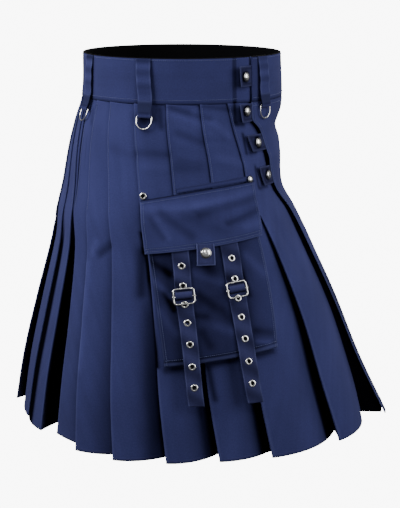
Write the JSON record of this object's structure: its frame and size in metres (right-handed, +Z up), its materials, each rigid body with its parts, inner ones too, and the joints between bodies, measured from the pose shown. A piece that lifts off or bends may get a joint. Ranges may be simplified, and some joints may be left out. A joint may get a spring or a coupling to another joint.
{
  "type": "pleated utility kilt",
  "caption": "Pleated utility kilt in navy cotton twill with a snap closure, belt loops with swinging D rings and a strapped cargo pocket.",
  "frame": {"origin": "centre of the waist rim, where the wearer holds the kilt up", "axes": "+Z up, front faces -Y, the wearer's right is -X"},
  "size_m": [0.605, 0.5983, 0.592],
  "materials": {
    "twill": "navy cotton twill, matt",
    "steel": "nickel-plated, bright"
  },
  "bodies": {
    "kilt": {"pleats_right": "twill", "pleats_left": "twill", "waistband": "twill", "front_apron": "twill", "belt_loop_1": "twill", "belt_loop_2": "twill", "belt_loop_3": "twill", "belt_loop_4": "twill", "belt_loop_5": "twill", "closure_tab_1": "twill", "tab_snap_1": "steel", "closure_tab_2": "twill", "tab_snap_2": "steel", "closure_tab_3": "twill", "tab_snap_3": "steel", "closure_tab_4": "twill", "tab_snap_4": "steel", "pocket_bag": "twill", "pocket_flap": "twill", "flap_tab": "twill", "flap_snap": "steel", "pocket_rivet_left": "steel", "pocket_rivet_right": "steel", "strap_left": "twill", "eyelet_left_1": "steel", "eyelet_left_2": "steel", "eyelet_left_3": "steel", "eyelet_left_4": "steel", "eyelet_left_5": "steel", "eyelet_left_6": "steel", "eyelet_left_7": "steel", "buckle_left": "steel", "buckle_bar_left": "steel", "buckle_loop_left": "twill", "strap_right": "twill", "eyelet_right_1": "steel", "eyelet_right_2": "steel", "eyelet_right_3": "steel", "eyelet_right_4": "steel", "eyelet_right_5": "steel", "eyelet_right_6": "steel", "eyelet_right_7": "steel", "buckle_right": "steel", "buckle_bar_right": "steel", "buckle_loop_right": "twill"},
    "ring_back": {"d_ring_1": "steel"},
    "ring_back_right": {"d_ring_2": "steel"},
    "ring_front_right": {"d_ring_3": "steel"},
    "ring_front_left": {"d_ring_4": "steel"},
    "ring_back_left": {"d_ring_5": "steel"}
  },
  "joints": [
    {"name": "ring_back_swing", "type": "hinge", "parent": "kilt", "child": "ring_back", "pos_m": [-0.01116, 0.1675, -0.084], "axis": [0.9979, 0.0644, 0], "range_deg": [0, 140]},
    {"name": "ring_back_right_swing", "type": "hinge", "parent": "kilt", "child": "ring_back_right", "pos_m": [-0.12628, 0.11247, -0.087], "axis": [0.6979, 0.7161, 0], "range_deg": [0, 140]},
    {"name": "ring_front_right_swing", "type": "hinge", "parent": "kilt", "child": "ring_front_right", "pos_m": [-0.14855, -0.07876, -0.076], "axis": [-0.4833, 0.8754, 0], "range_deg": [0, 140]},
    {"name": "ring_front_left_swing", "type": "hinge", "parent": "kilt", "child": "ring_front_left", "pos_m": [0.14558, -0.07705, -0.084], "axis": [-0.483, -0.8756, 0], "range_deg": [0, 140]},
    {"name": "ring_back_left_swing", "type": "hinge", "parent": "kilt", "child": "ring_back_left", "pos_m": [0.12514, 0.11359, -0.087], "axis": [0.692, -0.7219, 0], "range_deg": [0, 140]}
  ]
}
